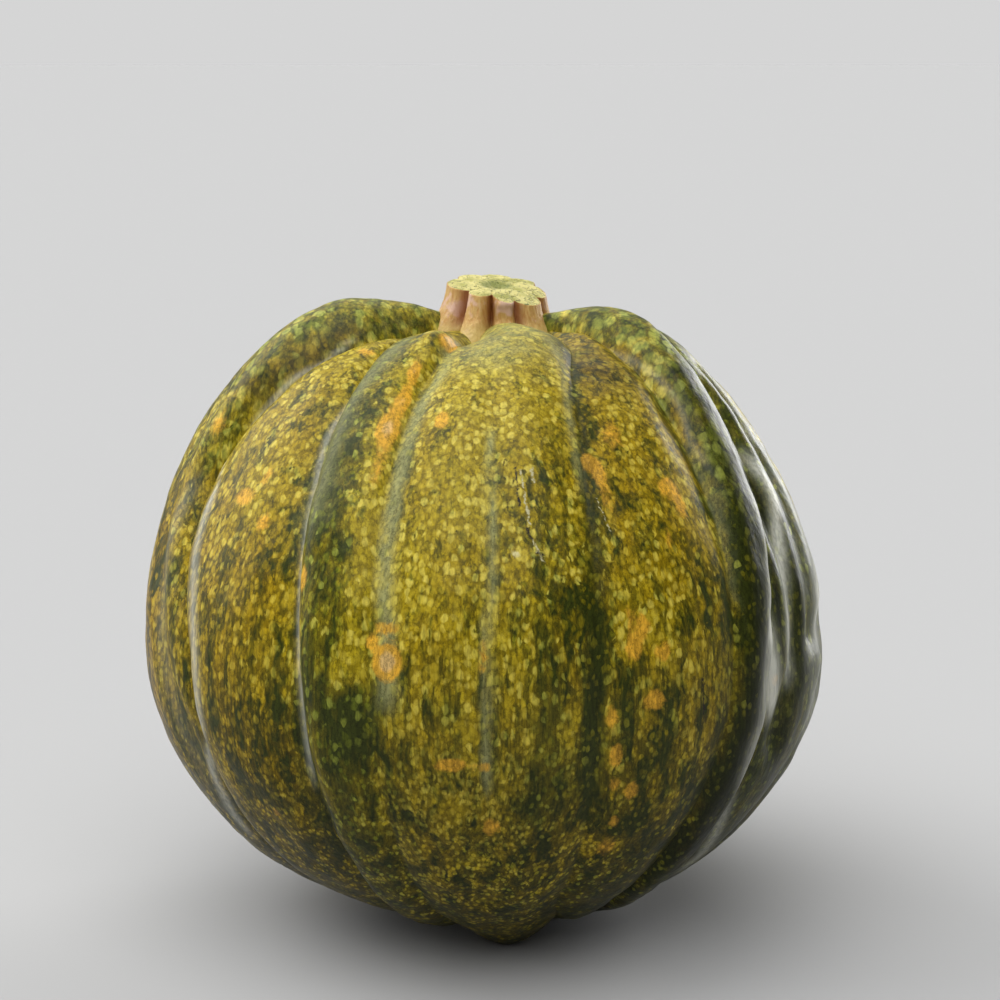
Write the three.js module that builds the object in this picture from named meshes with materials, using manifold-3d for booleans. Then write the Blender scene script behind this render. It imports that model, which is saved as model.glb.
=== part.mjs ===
// Kabocha squash: a ribbed fruit with its cut, corky stem.
// Millimetres, +Z up. The origin is on the surface it rests on, under the middle of its box.
// Azimuth 0 is the front (-Y) and grows towards +X. Latitude is seen from the heart of the fruit.
import * as THREE from 'three';
import { mergeVertices } from 'three/addons/utils/BufferGeometryUtils.js';
import Module from 'manifold-3d';

const wasm = await Module();
wasm.setup();

// The heart of the fruit: the point that every radius of its skin is measured from.
const HEART = { x: 0.12, y: -0.02, z: 71 };

// Skin radius by latitude, before the lobes.
const PROFILE = [
  [-90, 62], [-70, 74.2], [-50, 78.6], [-30, 82], [0, 85],
  [30, 85], [50, 86], [65, 84], [78, 79], [90, 76],
];

// Each lobe starts at its own groove. edge is the groove's azimuth at EDGE_LATITUDES, groove and
// crown are heights over the profile at LEVEL_LATITUDES, and flanks tells how steep its left and
// right sides are.
const EDGE_LATITUDES = [-70, -40, 0, 32, 54, 76];
const LEVEL_LATITUDES = [-55, 0, 50, 74];
const LOBES = [
  { name: 'front', edge: [-10, -13.5, -17.2, -18.4, -17.2, -8], groove: [-3.4, -1, -3, -4],
    crown: [-0.5, 0.5, 0.5, 2.2], flanks: [2.2, 2.2], columns: 10 },
  { name: 'front right', edge: [30, 17, 17.2, 18.5, 24.4, 45], groove: [-3.6, -1.5, -2.2, -3],
    crown: [-1.8, 0, -1.6, -2], flanks: [2.2, 2.2], columns: 8 },
  { name: 'right rib', edge: [48, 37, 42, 47, 51, 58], groove: [-4.2, -1.5, -4.5, -5],
    crown: [-1.2, 0.8, 1, 1.5], flanks: [2.6, 5], columns: 6 },
  { name: 'wrinkled', edge: [60, 46, 52, 61, 68, 84], groove: [-4.6, -3.2, -4.5, -4],
    crown: [-2, 0, -1.5, -1], flanks: [2.4, 2.4], columns: 13 },
  { name: 'right', edge: [86, 84, 88, 90, 94, 104], groove: [-4, -3, -4, -3],
    crown: [-1, 0, -0.5, -1.5], flanks: [2.4, 2.4], columns: 7 },
  { name: 'back right rib', edge: [112, 112, 113, 114, 115, 120], groove: [-4, -2.5, -3, -3],
    crown: [-1.5, 0.5, 0, -1], flanks: [2.6, 2.6], columns: 6 },
  { name: 'back right', edge: [130, 131, 133, 134, 134, 134], groove: [-4.5, -2.5, -3, -3],
    crown: [-2, 0, -1, -2.5], flanks: [2.2, 2.2], columns: 8 },
  { name: 'back', edge: [158, 158, 160, 161, 160, 158], groove: [-5, -2, -3, -3],
    crown: [-1, 0.3, -0.5, -1.5], flanks: [2.2, 2.2], columns: 8 },
  { name: 'back rib', edge: [186, 188, 190, 190, 188, 186], groove: [-4.5, -2.5, -3.5, -3],
    crown: [-2, 0.6, 0.3, 0.5], flanks: [2.8, 2.8], columns: 6 },
  { name: 'back left', edge: [208, 207, 207, 208, 207, 206], groove: [-5, -2.5, -3.5, -3],
    crown: [-1.5, 0, -1, -2.5], flanks: [2.2, 2.2], columns: 8 },
  { name: 'left back rib', edge: [232, 232, 236, 237, 234, 230], groove: [-4.5, -2.5, -3, -3],
    crown: [-2, 0.4, 0.5, -1], flanks: [2.4, 2.4], columns: 6 },
  { name: 'left back', edge: [256, 256, 259, 260, 257, 250], groove: [-5, -2.5, -3, -3],
    crown: [-3, 0, 1, 0], flanks: [2.6, 2.6], columns: 5 },
  { name: 'left shoulder', edge: [280, 278, 277, 277, 275, 268], groove: [-6, -2.5, -2, -3],
    crown: [-3, 0.3, 2.5, 2], flanks: [2.4, 2.2], columns: 8 },
  { name: 'left', edge: [311, 309, 304.5, 294, 300.5, 307], groove: [-5.5, -3.2, -5.5, -6],
    crown: [-3.5, 0, -1.2, -3.5], flanks: [6, 2.6], columns: 8 },
  { name: 'front left rib', edge: [332, 334, 330.8, 326, 322.4, 312], groove: [-4.4, -2.5, -4.5, -5],
    crown: [-2, 0.8, 0.5, -0.5], flanks: [4, 2.6], columns: 7 },
];
// Columns crowd towards the grooves: 0 spreads them evenly, 1 stops them at the groove.
const BUNCHING = 0.5;

// Swellings and hollows that belong to no lobe: where, how wide, how high.
const SWELLINGS = [
  { name: 'left shoulder top', azimuth: -82, latitude: 66, across: 26, along: 17, height: 6.6 },
  { name: 'right shoulder top', azimuth: 74, latitude: 64, across: 26, along: 16, height: 4.6 },
  { name: 'nose by the stem', azimuth: -18, latitude: 66, across: 10, along: 6.5, height: 4 },
  { name: 'left cheek', azimuth: -96, latitude: 38, across: 25, along: 14, height: 1.6 },
  { name: 'right cheek', azimuth: 88, latitude: -12, across: 16, along: 12, height: 1.5 },
  { name: 'nick on the right', azimuth: 72, latitude: 4, across: 7, along: 3.5, height: -1.6 },
  { name: 'front toe', azimuth: 10, latitude: -67, across: 15, along: 9, height: 3.2 },
  { name: 'right toe', azimuth: 144, latitude: -68, across: 17, along: 9, height: 4.8 },
  { name: 'left toe', azimuth: 244, latitude: -68, across: 17, along: 9, height: 4.8 },
];

// Creases run from latitude to latitude: their azimuth there, half width in degrees and depth.
const CREASES = [
  { name: 'middle of the front lobe', path: [[-35, 0], [0, 1], [58, 2]], across: 4, depth: 0.7 },
  { name: 'left pleat', path: [[-14, -59], [5, -65], [14, -69], [30, -75], [42, -77]],
    across: 2.4, depth: 1.6 },
  { name: 'first wrinkle', path: [[2, 50], [15, 54.5], [34, 60]], across: 1.6, depth: 1.3 },
  { name: 'second wrinkle', path: [[-10, 57], [9, 62.5], [24, 63.5], [46, 71]], across: 2.2, depth: 2 },
  { name: 'third wrinkle', path: [[6, 69], [24, 73], [50, 80]], across: 2.4, depth: 1.8 },
  { name: 'fourth wrinkle', path: [[-38, 62], [-12, 72], [3, 78]], across: 3, depth: 1.2 },
];
const CREASE_END = 7;

const SKIN_ROWS = 42;
// The lobes die out over this many degrees at the stem and at the blossom end.
const POLE_FADE = 14;

// The stem is a bundle of corky ribs on a wide foot, cut off on a slant.
const STEM = {
  x: 3,
  y: 0,
  footHeight: 147,
  // Crest radius by height over the foot: the first ring is buried in the fruit and cut off there.
  side: [[-9, 19.5], [0, 16.3], [2.2, 15], [4.5, 13.8], [7.5, 12.8]],
  rimRadius: 11.9,
  // Grooves between the ribs: azimuth round the stem, and depth as a share of the radius.
  grooves: [
    [-118, 0.14], [-42, 0.24], [-6, 0.27], [24, 0.16], [74, 0.17], [115, 0.15], [155, 0.17], [200, 0.14],
  ],
  ribFlank: 2.6,
  columnsPerRib: 6,
  // The cut face: its height in the middle, and how it rises to the back and to the right.
  cutHeight: 158.2,
  cutRise: 0.14,
  cutLean: -0.08,
  // The cut drops off towards the front right: by how much, which way, and between which distances.
  drop: 2.2,
  dropTowards: [0.85, -0.53],
  dropFrom: 4,
  dropTo: 14,
  hollowRadius: 2.6,
  hollowDepth: 1.6,
  faceRings: [1, 0.8, 0.5, 0.25],
};

// The stem grows out of the fruit: this much air is left between the two solids.
const SEAM = 0.3;
const GROUND_SPAN = 400;

const RIND = { color: 0x4f5a22, roughness: 0.5, metalness: 0 };
const CORK = { color: 0xc9a878, roughness: 0.75, metalness: 0 };

const radians = THREE.MathUtils.degToRad;

// A smooth line through named heights, level at both ends and never past its points.
function smoothLine(points) {
  const secants = points.slice(1).map(([x, y], i) => (y - points[i][1]) / (x - points[i][0]));
  const slopes = points.map((point, i) => {
    const before = secants[i - 1] ?? 0;
    const after = secants[i] ?? 0;
    return before * after > 0 ? 2 * before * after / (before + after) : 0;
  });
  return (at) => {
    const x = THREE.MathUtils.clamp(at, points[0][0], points.at(-1)[0]);
    const found = points.findIndex(([end]) => x <= end);
    const i = Math.max(found, 1) - 1;
    const [x0, y0] = points[i];
    const [x1, y1] = points[i + 1];
    const h = x1 - x0;
    const t = (x - x0) / h;
    const u = 1 - t;
    return y0 * u * u * (1 + 2 * t) + y1 * t * t * (3 - 2 * t)
      + h * t * u * (slopes[i] * u - slopes[i + 1] * t);
  };
}

const overLatitudes = (latitudes, values) => smoothLine(latitudes.map((at, i) => [at, values[i]]));

const profile = smoothLine(PROFILE);
const lobes = LOBES.map((lobe) => ({
  ...lobe,
  edge: overLatitudes(EDGE_LATITUDES, lobe.edge),
  groove: overLatitudes(LEVEL_LATITUDES, lobe.groove),
  crown: overLatitudes(LEVEL_LATITUDES, lobe.crown),
}));
const creases = CREASES.map((crease) => ({
  ...crease,
  line: smoothLine(crease.path),
  from: crease.path[0][0],
  to: crease.path.at(-1)[0],
}));

const bell = (x) => Math.exp(-x * x);
const turn = (angle) => THREE.MathUtils.euclideanModulo(angle + 180, 360) - 180;

// Height of the swellings and creases in one direction.
function relief(azimuth, latitude) {
  let height = 0;
  for (const it of SWELLINGS) {
    const across = turn(azimuth - it.azimuth) / it.across;
    height += it.height * bell(across) * bell((latitude - it.latitude) / it.along);
  }
  for (const it of creases) {
    const open = THREE.MathUtils.smoothstep(latitude, it.from - CREASE_END, it.from)
      * (1 - THREE.MathUtils.smoothstep(latitude, it.to, it.to + CREASE_END));
    height -= it.depth * open * bell(turn(azimuth - it.line(latitude)) / it.across);
  }
  return height;
}

// A point of the skin: share is the way across the lobe, from its own groove to the next one.
function skinPoint(index, share, latitude, lift) {
  const lobe = lobes[index];
  const next = lobes[(index + 1) % lobes.length];
  const start = lobe.edge(latitude);
  const width = THREE.MathUtils.euclideanModulo(next.edge(latitude) - start, 360);
  const azimuth = start + width * share;
  const groove = THREE.MathUtils.lerp(lobe.groove(latitude), next.groove(latitude), share);
  const flank = share < 0.5 ? lobe.flanks[0] : lobe.flanks[1];
  const rise = 1 - Math.abs(2 * share - 1) ** flank;
  const level = THREE.MathUtils.lerp(groove, lobe.crown(latitude), rise);
  const fade = THREE.MathUtils.smoothstep(90 - Math.abs(latitude), 0, POLE_FADE);
  const radius = profile(latitude) + level * fade + relief(azimuth, latitude) + lift;
  const out = radius * Math.cos(radians(latitude));
  return new THREE.Vector3(
    HEART.x + out * Math.sin(radians(azimuth)),
    HEART.y - out * Math.cos(radians(azimuth)),
    HEART.z + radius * Math.sin(radians(latitude)),
  );
}

// Rings of points, stacked from the lower pole to the upper one, closed into one surface.
function closedSurface(low, rings, high) {
  const count = rings[0].length;
  const points = [low, ...rings.flat(), high];
  const triangles = [];
  const last = points.length - 1;
  const at = (ring, column) => 1 + ring * count + column % count;
  for (let column = 0; column < count; column += 1) {
    triangles.push(0, at(0, column + 1), at(0, column));
    triangles.push(last, at(rings.length - 1, column), at(rings.length - 1, column + 1));
    for (let ring = 0; ring < rings.length - 1; ring += 1) {
      const corner = at(ring, column);
      const opposite = at(ring + 1, column + 1);
      triangles.push(corner, at(ring, column + 1), opposite);
      triangles.push(corner, opposite, at(ring + 1, column));
    }
  }
  const geometry = new THREE.BufferGeometry().setFromPoints(points);
  geometry.setIndex(triangles);
  return geometry;
}

// Shares of a lobe's or a rib's width, one for each column, closer together at its edges.
function columnShares(columns) {
  return Array.from({ length: columns }, (_, column) => {
    const share = column / columns;
    return share - BUNCHING * Math.sin(2 * Math.PI * share) / (2 * Math.PI);
  });
}

function skinSurface(lift) {
  const lanes = lobes.flatMap((lobe, index) => columnShares(lobe.columns).map((share) => [index, share]));
  const rings = [];
  for (let row = 1; row < SKIN_ROWS; row += 1) {
    const latitude = -90 + 180 * row / SKIN_ROWS;
    rings.push(lanes.map(([index, share]) => skinPoint(index, share, latitude, lift)));
  }
  return closedSurface(skinPoint(0, 0, -90, lift), rings, skinPoint(0, 0, 90, lift));
}

// Height of the cut through the stem: it rises to the back and has a soft hollow in its middle.
function cutHeight(x, y) {
  const hollow = STEM.hollowDepth * bell(Math.hypot(x, y) / STEM.hollowRadius);
  const along = x * STEM.dropTowards[0] + y * STEM.dropTowards[1];
  const drop = STEM.drop * THREE.MathUtils.smoothstep(along, STEM.dropFrom, STEM.dropTo);
  return STEM.cutHeight + STEM.cutRise * y + STEM.cutLean * x - hollow - drop;
}

// One lane up the stem for each column: where it stands, and how deep it lies between two ribs.
function stemLanes() {
  const count = STEM.grooves.length;
  return STEM.grooves.flatMap(([start, depth], rib) => {
    const [end, nextDepth] = STEM.grooves[(rib + 1) % count];
    const width = THREE.MathUtils.euclideanModulo(end - start, 360);
    return columnShares(STEM.columnsPerRib).map((share) => {
      const dip = THREE.MathUtils.lerp(depth, nextDepth, share) * Math.abs(2 * share - 1) ** STEM.ribFlank;
      return { azimuth: radians(start + width * share), dip };
    });
  });
}

function stemSurface() {
  const lanes = stemLanes();
  const ring = (radius, heightAt) => lanes.map(({ azimuth, dip }) => {
    const out = radius * (1 - dip);
    const x = out * Math.sin(azimuth);
    const y = -out * Math.cos(azimuth);
    return new THREE.Vector3(STEM.x + x, STEM.y + y, heightAt(x, y));
  });
  const side = STEM.side.map(([over, radius]) => ring(radius, () => STEM.footHeight + over));
  const face = STEM.faceRings.map((share) => ring(STEM.rimRadius * share, cutHeight));
  const under = new THREE.Vector3(STEM.x, STEM.y, STEM.footHeight + STEM.side[0][0]);
  return closedSurface(under, [...side, ...face], new THREE.Vector3(STEM.x, STEM.y, cutHeight(0, 0)));
}

function toSolid(geometry) {
  const bare = geometry.clone();
  bare.deleteAttribute('normal');
  bare.deleteAttribute('uv');
  const merged = mergeVertices(bare);
  return new wasm.Manifold(new wasm.Mesh({
    numProp: 3,
    vertProperties: new Float32Array(merged.attributes.position.array),
    triVerts: new Uint32Array(merged.index.array),
  }));
}

function toGeometry(solid) {
  const mesh = solid.getMesh();
  const geometry = new THREE.BufferGeometry();
  geometry.setAttribute('position', new THREE.BufferAttribute(new Float32Array(mesh.vertProperties), 3));
  geometry.setIndex(new THREE.BufferAttribute(new Uint32Array(mesh.triVerts), 1));
  geometry.computeVertexNormals();
  return geometry;
}

// What lies under the surface that the fruit rests on: it presses the three toes flat.
function ground() {
  return new THREE.BoxGeometry(GROUND_SPAN, GROUND_SPAN, GROUND_SPAN).translate(0, 0, -GROUND_SPAN / 2);
}

function namedMesh(name, solid, finish) {
  const mesh = new THREE.Mesh(toGeometry(solid), new THREE.MeshStandardMaterial(finish));
  mesh.name = name;
  return mesh;
}

const fruit = toSolid(skinSurface(0)).subtract(toSolid(ground()));
const stem = toSolid(stemSurface()).subtract(toSolid(skinSurface(SEAM)));

const squash = new THREE.Group();
squash.add(namedMesh('fruit', fruit, RIND));
squash.add(namedMesh('stem', stem, CORK));

export default squash;
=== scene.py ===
"""Kabocha squash: the mottled rind of the ribbed fruit, and its cut, corky stem.

Shapes are worked out in millimetres, +Z up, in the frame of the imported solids, and become metres
as each mesh is made. Azimuth 0 is the front (-Y) and grows towards +X. Latitude is seen from the
heart of the fruit. The skin follows the rule of the solids on a finer net, with dents on top.
"""

import math

import bpy
import numpy as np
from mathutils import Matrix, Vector


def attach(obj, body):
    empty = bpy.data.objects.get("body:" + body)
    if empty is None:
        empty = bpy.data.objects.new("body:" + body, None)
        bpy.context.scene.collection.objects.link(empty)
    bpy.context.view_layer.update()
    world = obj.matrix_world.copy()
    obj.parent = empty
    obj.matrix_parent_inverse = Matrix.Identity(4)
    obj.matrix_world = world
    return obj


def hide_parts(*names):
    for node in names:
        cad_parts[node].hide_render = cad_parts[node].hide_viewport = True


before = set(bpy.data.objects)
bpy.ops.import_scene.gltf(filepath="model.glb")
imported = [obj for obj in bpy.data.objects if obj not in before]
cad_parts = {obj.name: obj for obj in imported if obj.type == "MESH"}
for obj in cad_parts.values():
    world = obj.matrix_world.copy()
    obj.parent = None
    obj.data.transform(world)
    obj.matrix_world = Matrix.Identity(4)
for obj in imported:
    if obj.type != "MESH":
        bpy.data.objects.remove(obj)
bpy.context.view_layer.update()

MM = 0.001
HEART = np.array([0.12, -0.02, 71.0])

# Skin radius by latitude, before the lobes.
PROFILE = [
    (-90, 62), (-70, 74.2), (-50, 78.6), (-30, 82), (0, 85),
    (30, 85), (50, 86), (65, 84), (78, 79), (90, 76),
]

# Each lobe starts at its own groove: the groove's azimuth at EDGE_LATITUDES, groove and crown
# heights over the profile at LEVEL_LATITUDES, and how steep its left and right sides are.
# Its paint, also at LEVEL_LATITUDES: yellow 0 is dark green and 1 yellow olive, brown warms it,
# bloom is grey wax, and coarse turns the fine flecks into large round ones.
EDGE_LATITUDES = (-70, -40, 0, 32, 54, 76)
LEVEL_LATITUDES = (-55, 0, 50, 74)
LOBE_KEYS = ("name", "edge", "groove", "crown", "flanks", "columns", "yellow", "brown", "bloom",
             "coarse")
LOBES = [dict(zip(LOBE_KEYS, lobe)) for lobe in [
    ("front", (-10, -13.5, -17.2, -18.4, -17.2, -8), (-3.4, -1, -3, -4),
     (-0.5, 0.5, 0.5, 2.2), (2.2, 2.2), 36,
     (0.34, 0.74, 1.1, 0.8), (0.2, 0.25, 0.15, 0.05), (0, 0, 0.1, 0.5), (0.2, 0.25, 0.35, 0.6)),
    ("front right", (30, 17, 17.2, 18.5, 24.4, 45), (-3.6, -1.5, -2.2, -3),
     (-1.8, 0, -1.6, -2), (2.2, 2.2), 29,
     (0.1, 0.48, 0.8, 0.66), (0.25, 0.4, 0.5, 0.6), (0, 0, -0.1, -0.1), (0.1, 0.1, 0.2, 0.4)),
    ("right rib", (48, 37, 42, 47, 51, 58), (-4.2, -1.5, -4.5, -5),
     (-1.2, 0.8, 1, 1.5), (2.6, 5), 24,
     (0.12, -0.1, 0.1, 0.35), (0.15, 0.3, 0, 0), (0, 0.05, 0.1, 0.15), (0.1, 0.1, 0.9, 1.1)),
    ("wrinkled", (60, 46, 52, 61, 68, 84), (-4.6, -3.2, -4.5, -4),
     (-2, 0, -1.5, -1), (2.4, 2.4), 44,
     (0.1, 0, 0.1, 0.3), (0.1, 0.1, 0, 0), (0.15, 0.15, 0.15, 0.2), (0.2, 0.1, 0.4, 0.8)),
    ("right", (86, 84, 88, 90, 94, 104), (-4, -3, -4, -3),
     (-1, 0, -0.5, -1.5), (2.4, 2.4), 25,
     (0.3, 0.45, 0.55, 0.5), (0.2, 0.2, 0.1, 0.1), (0.2, 0.2, 0.2, 0.3), (0.1, 0.2, 0.4, 0.6)),
    ("back right rib", (112, 112, 113, 114, 115, 120), (-4, -2.5, -3, -3),
     (-1.5, 0.5, 0, -1), (2.6, 2.6), 22,
     (0.15, 0.2, 0.4, 0.5), (0.1, 0.1, 0.1, 0), (0, 0.1, 0.2, 0.4), (0.1, 0.2, 0.7, 1)),
    ("back right", (130, 131, 133, 134, 134, 134), (-4.5, -2.5, -3, -3),
     (-2, 0, -1, -2.5), (2.2, 2.2), 27,
     (0.35, 0.7, 0.85, 0.7), (0.3, 0.4, 0.3, 0.4), (0, 0, 0.1, 0.4), (0.1, 0.2, 0.3, 0.5)),
    ("back", (158, 158, 160, 161, 160, 158), (-5, -2, -3, -3),
     (-1, 0.3, -0.5, -1.5), (2.2, 2.2), 27,
     (0.4, 0.55, 0.7, 0.6), (0.2, 0.2, 0.1, 0.1), (0, 0, 0.2, 0.5), (0.2, 0.2, 0.4, 0.6)),
    ("back rib", (186, 188, 190, 190, 188, 186), (-4.5, -2.5, -3.5, -3),
     (-2, 0.6, 0.3, 0.5), (2.8, 2.8), 23,
     (0.1, 0.15, 0.4, 0.5), (0.1, 0.1, 0, 0), (0, 0, 0.3, 0.4), (0, 0.1, 0.7, 1)),
    ("back left", (208, 207, 207, 208, 207, 206), (-5, -2.5, -3.5, -3),
     (-1.5, 0, -1, -2.5), (2.2, 2.2), 27,
     (0.4, 0.75, 0.8, 0.7), (0.4, 0.5, 0.4, 0.5), (0, 0, 0.1, 0.3), (0.1, 0.2, 0.3, 0.4)),
    ("left back rib", (232, 232, 236, 237, 234, 230), (-4.5, -2.5, -3, -3),
     (-2, 0.4, 0.5, -1), (2.4, 2.4), 22,
     (0.2, 0.3, 0.45, 0.5), (0.2, 0.2, 0.1, 0), (0, 0.1, 0.2, 0.4), (0.1, 0.2, 0.6, 0.9)),
    ("left back", (256, 256, 259, 260, 257, 250), (-5, -2.5, -3, -3),
     (-3, 0, 1, 0), (2.6, 2.6), 20,
     (0.5, 0.7, 0.5, 0.45), (0.5, 0.4, 0.2, 0.1), (0, 0.1, 0.2, 0.4), (0.1, 0.2, 0.5, 0.8)),
    ("left shoulder", (280, 278, 277, 277, 275, 268), (-6, -2.5, -2, -3),
     (-3, 0.3, 2.5, 2), (2.4, 2.2), 27,
     (0.3, 0.42, 0.34, 0.32), (0.5, 0.5, 0, 0), (0, 0.1, 0.1, 0.25), (0.1, 0.2, 0.8, 1.1)),
    ("left", (311, 309, 304.5, 294, 300.5, 307), (-5.5, -3.2, -5.5, -6),
     (-3.5, 0, -1.2, -3.5), (6, 2.6), 27,
     (0.3, 0.55, 0.9, 0.9), (0.35, 0.6, 0.3, 0.15), (0, 0, 0, 0.15), (0.1, 0.1, 0.3, 0.4)),
    ("front left rib", (332, 334, 330.8, 326, 322.4, 312), (-4.4, -2.5, -4.5, -5),
     (-2, 0.8, 0.5, -0.5), (4, 2.6), 27,
     (0.35, 0.22, 0.5, 0.65), (0.1, 0, 0.1, 0.2), (0, 0, 0.1, 0.15), (0.1, 0.2, 0.4, 0.4)),
]]
# Columns crowd towards the grooves: 0 spreads them evenly, 1 stops them at the groove.
BUNCHING = 0.5
SKIN_ROWS = 226
# The lobes die out over this many degrees at the stem and at the blossom end.
POLE_FADE = 14
# The outer share of a lobe's width where its paint runs into its neighbour's.
PAINT_EDGE = 0.2
# Painted shade and finer flecks on the low part: full below the first latitude, gone above the second.
LOW_FLECKS_AND_SHADE_RANGE = (-42, 22)

# Swellings and hollows that belong to no lobe: azimuth, latitude, half widths, height.
SWELLINGS = [
    ("left shoulder top", -82, 66, 26, 17, 6.6),
    ("right shoulder top", 74, 64, 26, 16, 4.6),
    ("nose by the stem", -18, 66, 10, 6.5, 4),
    ("left cheek", -96, 38, 25, 14, 1.6),
    ("right cheek", 88, -12, 16, 12, 1.5),
    ("nick on the right", 72, 4, 7, 3.5, -1.6),
    ("front toe", 10, -67, 15, 9, 3.2),
    ("right toe", 144, -68, 17, 9, 4.8),
    ("left toe", 244, -68, 17, 9, 4.8),
]

# Creases run from latitude to latitude: their azimuth there, half width in degrees and depth.
CREASES = [
    ("middle of the front lobe", [(-35, 0), (0, 1), (58, 2)], 4, 0.7),
    ("left pleat", [(-14, -59), (5, -65), (14, -69), (30, -75), (42, -77)], 2.4, 1.6),
    ("first wrinkle", [(2, 50), (15, 54.5), (34, 60)], 1.6, 1.3),
    ("second wrinkle", [(-10, 57), (9, 62.5), (24, 63.5), (46, 71)], 2.2, 2),
    ("third wrinkle", [(6, 69), (24, 73), (50, 80)], 2.4, 1.8),
    ("fourth wrinkle", [(-38, 62), (-12, 72), (3, 78)], 3, 1.2),
]
# Creases and washes of paint fade in and out over this many degrees at their ends.
LINE_END = 7

# Washes of paint along a line, by what they change: latitude and azimuth of the line's points, half
# width in degrees, strength.
WASHES = {"yellow": [
    ("dark strip right of the front lobe",
     [(-10, 16.4), (15, 17.6), (33, 19.6), (51, 23.2), (65, 32)], 2.3, -0.7),
    ("greener right half of the front lobe", [(-14, 9), (14, 10), (40, 10.5)], 4.2, -0.52),
    ("green left side of the front lobe", [(5, -14.5), (27, -16.5), (50, -15.8)], 2.2, -0.45),
    ("green line down the front lobe", [(-8, 0.6), (12, 0.8), (24, 1.4), (42, 1.8)], 1.5, -0.5),
    ("yellow right side of the left rib", [(8, -20.5), (24, -20), (38, -20.5), (60, -19.5)], 2.6, 0.7),
    ("green left half of the left rib", [(30, -31), (50, -33), (66, -32)], 4.5, -0.5),
    ("yellow left flank", [(-14, -71), (20, -76), (42, -74)], 5, 0.25),
], "shade": [
    ("shade of the dark strip", [(2, 16.8), (15, 17.4), (33, 19.4), (51, 23)], 1.5, 0.35),
    ("dark right half of the right rib", [(-30, 42), (0, 46.5), (32, 54.5), (50, 60)], 4.5, 0.75),
    ("dark shade under the left shoulder", [(48, -66), (54, -62.5), (63, -60)], 3.5, 0.5),
    ("dark line between the ridges", [(6, 57), (16, 58.6), (31, 66)], 0.9, 0.9),
    ("dark valley between the ridges", [(9, 65), (21, 68), (32, 73), (42, 77)], 1.5, 0.8),
    ("dark valley under the nick", [(-28, 62), (-9, 60), (2, 64)], 3.5, 0.6),
], "bloom": [
    ("pale edge of the dark strip", [(38, 18.6), (52, 20.8), (62, 26)], 1.5, 0.5),
    ("wax down the left side of the front lobe",
     [(5, -14.5), (27, -16.5), (39, -16.5), (50, -15.8), (60, -12.5)], 2, 0.7),
    ("wax line down the front lobe", [(-8, 0.4), (12, 0.4), (24, 1), (42, 1.2)], 0.9, 0.75),
    ("wax on the left half of the left rib", [(30, -32), (50, -33.5), (58, -32), (68, -32)], 4.2, 0.4),
    ("soft grey on the right rib", [(18, 44.5), (30, 47), (38, 48)], 1.3, 0.4),
], "orange": [
    ("orange down the left rib", [(38, -20.8), (46, -20.6), (57, -20)], 1.8, 0.42),
# Painted sheen: pale streaks of glancing light along the folds, ridges and rib edges of the rind.
], "painted_sheen": [
    ("sheen at the edge of the left rib",
     [(-8, -28.6), (10, -30.2), (33, -34.3), (46, -37), (56, -37)], 0.55, 0.45),
    ("sheen line at the top of the right rib",
     [(40, 49.4), (48, 51.8), (57, 53), (63, 54), (68, 54)], 0.6, 0.15),
    ("sheen along the left fold",
     [(-28, -57), (-16, -55.3), (-5, -51.8), (7, -53), (16, -55.7), (26, -59.2)], 1.3, 0.5),
    ("faint sheen along the left fold",
     [(30, -60), (37, -63.4), (42, -64), (48, -62.6), (53, -61.3), (60, -58.6)], 0.5, 0.5),
    ("sheen along the left pleat", [(-15, -60.5), (-3, -63.2), (9, -67), (27, -69)], 1.6, 0.14),
    ("sheen along the wrinkled fold", [(-2, 54), (6, 53.5), (12, 53), (18, 55), (25, 57.4)], 1.7, 1.2),
    ("faint sheen along the wrinkled fold", [(32, 60), (38, 61.5), (45, 62.6)], 0.8, 0.25),
    ("sheen low on the wrinkled fold",
     [(-38, 54), (-26, 51), (-13, 47.5), (-2, 49.5), (9, 52)], 1.7, 0.45),
    ("sheen on the second ridge", [(3, 59.5), (10, 61), (22, 65), (32, 69.5)], 1.3, 0.9),
    ("sheen on the outer ridge", [(-10, 73), (10, 79), (30, 84), (50, 88)], 4.5, 0.42),
], "brown": [
    ("purple shade at the top of the right rib", [(42, 50), (57, 54), (68, 55)], 1, 0.5),
    ("brown shade under the left shoulder", [(46, -69), (54, -64), (63, -61)], 4, 0.5),
    ("brown left flank", [(-14, -71), (14, -74), (30, -73)], 6, 0.45),
]}

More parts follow.
